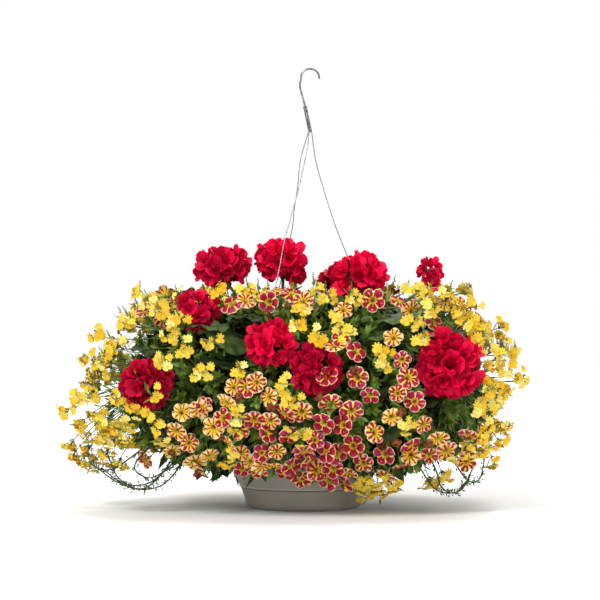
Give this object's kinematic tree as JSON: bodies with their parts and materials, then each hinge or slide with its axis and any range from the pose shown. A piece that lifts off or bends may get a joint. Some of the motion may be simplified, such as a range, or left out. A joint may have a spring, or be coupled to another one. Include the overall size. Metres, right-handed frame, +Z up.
{
  "type": "mixed flower hanging basket",
  "caption": "Hanging pot of mixed flowers: double red geraniums, trailing striped trumpets and yellow sprays, on a wire hook hanger.",
  "frame": {"origin": "centre of the pot's flat base", "axes": "+Z up along the pot's axis, the front seen in the picture looks along -Y"},
  "size_m": [0.5943, 0.4686, 0.5709],
  "materials": {
    "pot_plastic": "satin taupe plastic",
    "potting_soil": "matte dark bark and peat",
    "galvanised_wire": "dull zinc",
    "geranium_red": "matte petals",
    "geranium_leaf": "matte leaves",
    "calibrachoa": "matte leaves with striped crimson and cream blooms",
    "nemesia": "matte petals"
  },
  "bodies": {
    "root": {"calibrachoa_01": "calibrachoa", "calibrachoa_02": "calibrachoa", "calibrachoa_03": "calibrachoa", "calibrachoa_04": "calibrachoa", "calibrachoa_05": "calibrachoa", "calibrachoa_06": "calibrachoa", "calibrachoa_07": "calibrachoa", "calibrachoa_08": "calibrachoa", "calibrachoa_09": "calibrachoa", "calibrachoa_10": "calibrachoa", "geranium_1": "geranium_leaf", "geranium_2": "geranium_leaf", "geranium_3": "geranium_leaf", "geranium_head_back_1": "geranium_red", "geranium_head_back_2": "geranium_red", "geranium_head_back_3": "geranium_red", "geranium_head_back_4": "geranium_red", "geranium_head_back_5": "geranium_red", "geranium_head_front_1": "geranium_red", "geranium_head_front_2": "geranium_red", "geranium_head_front_3": "geranium_red", "geranium_head_front_4": "geranium_red", "geranium_head_front_5": "geranium_red", "geranium_head_front_6": "geranium_red", "geranium_head_front_7": "geranium_red", "geranium_head_front_8": "geranium_red", "geranium_head_front_9": "geranium_red", "hanger_hook": "galvanised_wire", "hanger_wire_back_left": "galvanised_wire", "hanger_wire_front_left": "galvanised_wire", "hanger_wire_right": "galvanised_wire", "nemesia_01": "nemesia", "nemesia_02": "nemesia", "nemesia_03": "nemesia", "nemesia_04": "nemesia", "nemesia_05": "nemesia", "nemesia_06": "nemesia", "nemesia_07": "nemesia", "nemesia_08": "nemesia", "nemesia_09": "nemesia", "pot": "pot_plastic", "potting_soil": "potting_soil"}
  },
  "joints": []
}
